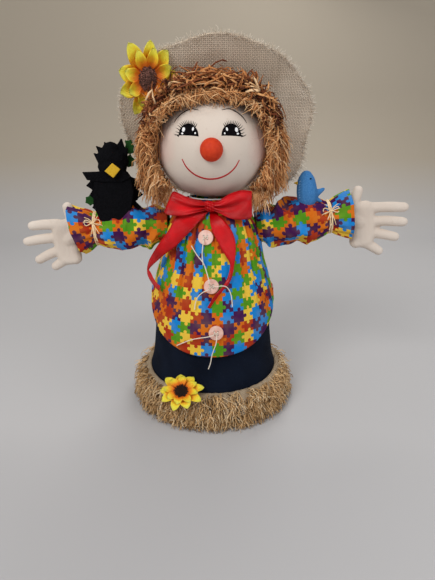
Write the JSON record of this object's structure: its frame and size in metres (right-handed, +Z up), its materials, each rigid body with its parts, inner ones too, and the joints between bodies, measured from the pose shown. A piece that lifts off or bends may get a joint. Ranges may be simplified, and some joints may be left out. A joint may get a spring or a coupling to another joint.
{
  "type": "scarecrow figure",
  "caption": "Stuffed scarecrow doll on a weighted round foot, with burlap hat, raffia hair, print shirt and a felt bird on each arm; the head turns and the arms swing.",
  "frame": {"origin": "centre of the foot board's underside, on the surface the doll stands on", "axes": "+Z up, the doll faces -Y, its left hand is towards +X"},
  "size_m": [0.4863, 0.2319, 0.448],
  "materials": {
    "mdf": "plain sawn board",
    "sand_bag": "sand in a cloth bag",
    "dowel": "sanded dowel",
    "burlap": "coarse open burlap weave",
    "raffia": "dry raffia strands",
    "stuffing": "polyester fibre",
    "navy_twill": "dark navy cotton twill",
    "print_cotton": "printed cotton with interlocking pieces of six colours",
    "satin": "red satin ribbon",
    "calico": "off-white calico",
    "button_resin": "pale pink resin",
    "thread": "waxed cream thread",
    "wire": "soft armature wire",
    "black_felt": "black felt",
    "yellow_felt": "yellow felt",
    "green_felt": "dark green cloth leaf",
    "blue_felt": "blue felt",
    "painted_wood": "orange-red painted wood",
    "petal_cloth": "dyed polyester petals",
    "seed_plush": "dark brown flocking"
  },
  "bodies": {
    "stand": {"base_board": "mdf", "weight_bag": "sand_bag", "centre_post": "dowel", "body_stuffing": "stuffing", "navy_trousers": "navy_twill", "base_ruffle": "burlap", "base_fringe": "raffia", "foot_sunflower_petals_outer": "petal_cloth", "foot_sunflower_petals_inner": "petal_cloth", "foot_sunflower_centre": "seed_plush", "shirt_body": "print_cotton", "shirt_collar": "print_cotton", "neck_ribbon": "satin", "bow_knot": "satin", "bow_loop_right": "satin", "bow_loop_left": "satin", "bow_tail_right": "satin", "bow_tail_left": "satin", "shirt_button_top": "button_resin", "shirt_button_middle": "button_resin", "shirt_button_bottom": "button_resin", "button_thread_1": "thread", "button_thread_2": "thread", "button_thread_3": "thread", "button_thread_4": "thread", "button_thread_5": "thread", "button_thread_6": "thread", "shoulder_wire": "wire"},
    "right_arm": {"right_sleeve": "print_cotton", "right_arm_and_hand": "calico", "right_arm_wire": "wire", "right_wrist_tie": "raffia", "crow_body": "black_felt", "crow_wings": "black_felt", "crow_beak": "yellow_felt", "crow_leaves": "green_felt"},
    "left_arm": {"left_sleeve": "print_cotton", "left_arm_and_hand": "calico", "left_arm_wire": "wire", "left_wrist_tie": "raffia", "bluebird_body": "blue_felt", "bluebird_wing": "blue_felt", "bluebird_tail": "blue_felt", "bluebird_beak": "yellow_felt"},
    "head": {"head_skin": "calico", "head_stuffing": "stuffing", "nose": "painted_wood", "hair_fringe": "raffia", "hair_right": "raffia", "hair_left": "raffia", "hat_brim": "burlap", "hat_crown": "burlap", "hat_sunflower_petals_outer": "petal_cloth", "hat_sunflower_petals_inner": "petal_cloth", "hat_sunflower_centre": "seed_plush"}
  },
  "joints": [
    {"name": "head_turn", "type": "hinge", "parent": "stand", "child": "head", "pos_m": [0, 0, 0.3], "axis": [0, 0, 1], "range_deg": [-10, 10]},
    {"name": "right_arm_swing", "type": "hinge", "parent": "stand", "child": "right_arm", "pos_m": [-0.068, 0, 0.238], "axis": [0, 1, 0], "range_deg": [-35, 3]},
    {"name": "left_arm_swing", "type": "hinge", "parent": "stand", "child": "left_arm", "pos_m": [0.068, 0, 0.238], "axis": [0, 1, 0], "range_deg": [-3, 35]}
  ]
}
